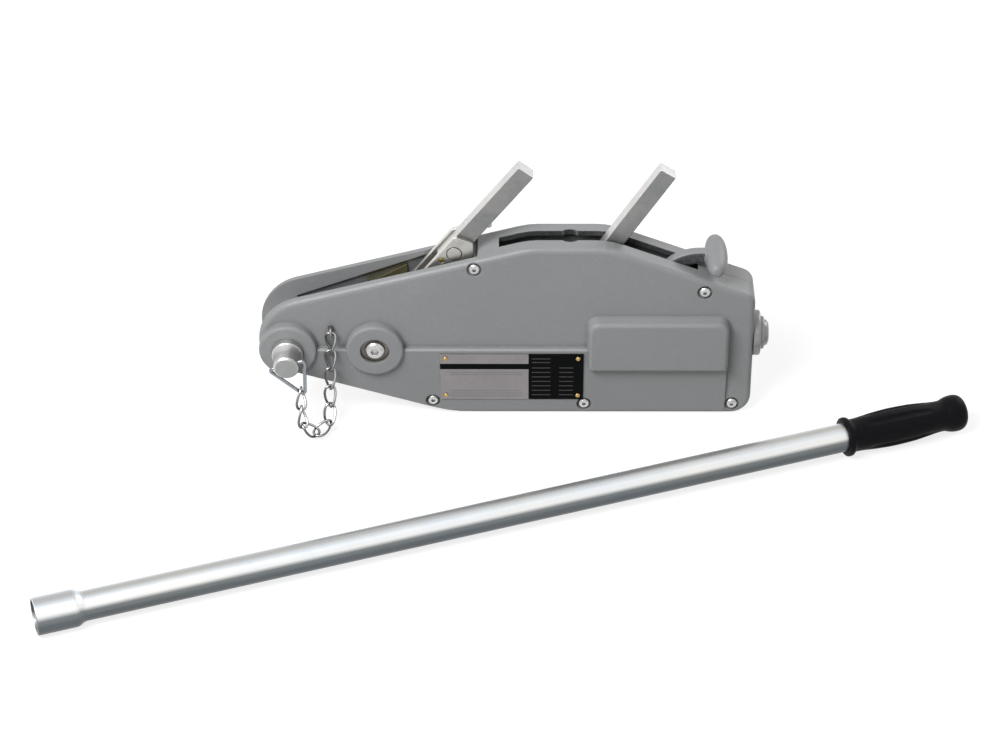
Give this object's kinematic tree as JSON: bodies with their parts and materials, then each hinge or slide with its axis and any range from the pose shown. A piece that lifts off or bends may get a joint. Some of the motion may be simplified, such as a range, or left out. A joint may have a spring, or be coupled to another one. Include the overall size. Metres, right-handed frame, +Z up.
{
  "type": "wire rope puller",
  "caption": "Lever-worked wire rope puller: a cast casing with forward, reverse and release levers, jaws inside, an anchor pin on a chain, and a loose handle tube.",
  "frame": {"origin": "on the floor under the casing, midway between its nose and the end of the rope guide, in the casing's split plane", "axes": "+X along the rope from the anchor pin to the rope guide, +Y away from the nameplate side, +Z up; the casing stands on its underside"},
  "size_m": [0.7524, 0.3519, 0.2347],
  "materials": {
    "casing_paint": "grey enamel, satin",
    "zinc_steel": "zinc plated, satin",
    "plain_steel": "turned, oiled",
    "washer_steel": "plain steel",
    "jaw_steel": "hardened, dark",
    "greased_steel": "yellow zinc under grease",
    "guide_zinc": "zinc plated",
    "label": "printed aluminium, no text",
    "rivet_brass": "bright",
    "chain_nickel": "nickel plated",
    "lever_paint": "grey enamel, satin",
    "tube_zinc": "zinc plated tube",
    "grip_rubber": "moulded, matt"
  },
  "bodies": {
    "casing": {"front_casing": "casing_paint", "rear_casing": "casing_paint", "casing_screws": "zinc_steel", "casing_nuts": "zinc_steel", "pivot_studs": "plain_steel", "pivot_washers": "washer_steel", "pivot_screws": "zinc_steel", "wear_plates": "greased_steel", "reverse_axle": "plain_steel", "release_axle": "plain_steel", "rope_guide": "guide_zinc", "nameplate": "label", "nameplate_rivets": "rivet_brass", "chain_eye": "chain_nickel", "pin_chain": "chain_nickel", "release_spring": "plain_steel"},
    "forward_lever": {"front_cheek": "zinc_steel", "rear_cheek": "zinc_steel", "forward_lever_bar": "zinc_steel", "lever_pin": "plain_steel", "shear_pins": "plain_steel", "drive_pins": "plain_steel"},
    "detent": {"detent_button": "plain_steel"},
    "front_carriage": {"front_jaw_plates": "greased_steel", "front_jaw_pins": "plain_steel"},
    "front_jaw_top": {"front_upper_jaw": "jaw_steel"},
    "front_jaw_bottom": {"front_lower_jaw": "jaw_steel"},
    "rear_carriage": {"rear_jaw_plates": "greased_steel", "rear_jaw_pins": "plain_steel"},
    "rear_jaw_top": {"rear_upper_jaw": "jaw_steel"},
    "rear_jaw_bottom": {"rear_lower_jaw": "jaw_steel"},
    "reverse": {"reverse_lever": "zinc_steel"},
    "link": {"reverse_link": "greased_steel"},
    "release": {"release_lever": "lever_paint", "release_pin": "plain_steel"},
    "bar": {"release_bar": "greased_steel"},
    "anchor": {"anchor_pin": "zinc_steel"},
    "clip": {"anchor_clip": "zinc_steel"},
    "handle": {"handle_tube": "tube_zinc", "handle_grip": "grip_rubber"}
  },
  "joints": [
    {"name": "forward_swing", "type": "hinge", "parent": "casing", "child": "forward_lever", "pos_m": [-0.116, 0, 0.0695], "axis": [0, -1, 0], "range_deg": [0, 70]},
    {"name": "detent_press", "type": "slide", "parent": "forward_lever", "child": "detent", "axis": [-0.788, 0, 0.6157], "range_m": [0, 0.0025], "stiffness_N_per_m": 400, "springref_m": -0.002},
    {"name": "front_carriage_slide", "type": "slide", "parent": "casing", "child": "front_carriage", "axis": [-1, 0, 0], "range_m": [0, 0.0272]},
    {"name": "rear_carriage_slide", "type": "slide", "parent": "casing", "child": "rear_carriage", "axis": [1, 0, 0], "range_m": [0, 0.0272]},
    {"name": "front_top_open", "type": "slide", "parent": "front_carriage", "child": "front_jaw_top", "axis": [0, 0, 1], "range_m": [0, 0.0016]},
    {"name": "front_bottom_open", "type": "slide", "parent": "front_carriage", "child": "front_jaw_bottom", "axis": [0, 0, -1], "range_m": [0, 0.0016]},
    {"name": "rear_top_open", "type": "slide", "parent": "rear_carriage", "child": "rear_jaw_top", "axis": [0, 0, 1], "range_m": [0, 0.0016]},
    {"name": "rear_bottom_open", "type": "slide", "parent": "rear_carriage", "child": "rear_jaw_bottom", "axis": [0, 0, -1], "range_m": [0, 0.0016]},
    {"name": "reverse_swing", "type": "hinge", "parent": "casing", "child": "reverse", "pos_m": [0.046, 0, 0.1065], "axis": [0, -1, 0], "range_deg": [0, 42]},
    {"name": "link_slide", "type": "slide", "parent": "casing", "child": "link", "axis": [1, 0, 0], "range_m": [0, 0.0094]},
    {"name": "release_lift", "type": "hinge", "parent": "casing", "child": "release", "pos_m": [0.107, 0, 0.1147], "axis": [0, -1, 0], "range_deg": [0, 40]},
    {"name": "bar_slide", "type": "slide", "parent": "casing", "child": "bar", "axis": [1, 0, 0], "range_m": [0, 0.0138], "stiffness_N_per_m": 300, "springref_m": -0.004, "deforming": ["release_spring"]},
    {"name": "anchor_turn", "type": "hinge", "parent": "casing", "child": "anchor", "pos_m": [-0.1885, 0, 0.0695], "axis": [0, 1, 0], "range_deg": [-30, 30], "deforming": ["pin_chain"]},
    {"name": "clip_swing", "type": "hinge", "parent": "anchor", "child": "clip", "pos_m": [-0.1885, -0.0479, 0.0695], "axis": [-0.9537, 0, -0.3007], "range_deg": [0, 70], "deforming": ["pin_chain"]},
    {"name": "handle_lift", "type": "slide", "parent": "casing", "child": "handle", "axis": [0, 0, 1], "range_m": [0, 0.25]}
  ],
  "couplings": [
    {"joint": "front_carriage_slide", "follows": "forward_swing", "m_per_rad": 0.0222},
    {"joint": "rear_carriage_slide", "follows": "forward_swing", "m_per_rad": 0.0222},
    {"joint": "link_slide", "follows": "reverse_swing", "m_per_rad": 0.01278},
    {"joint": "bar_slide", "follows": "release_lift", "m_per_rad": 0.0196},
    {"joint": "front_top_open", "follows": "release_lift", "m_per_rad": 0.00229},
    {"joint": "front_bottom_open", "follows": "release_lift", "m_per_rad": 0.00229},
    {"joint": "rear_top_open", "follows": "release_lift", "m_per_rad": 0.00229},
    {"joint": "rear_bottom_open", "follows": "release_lift", "m_per_rad": 0.00229}
  ]
}
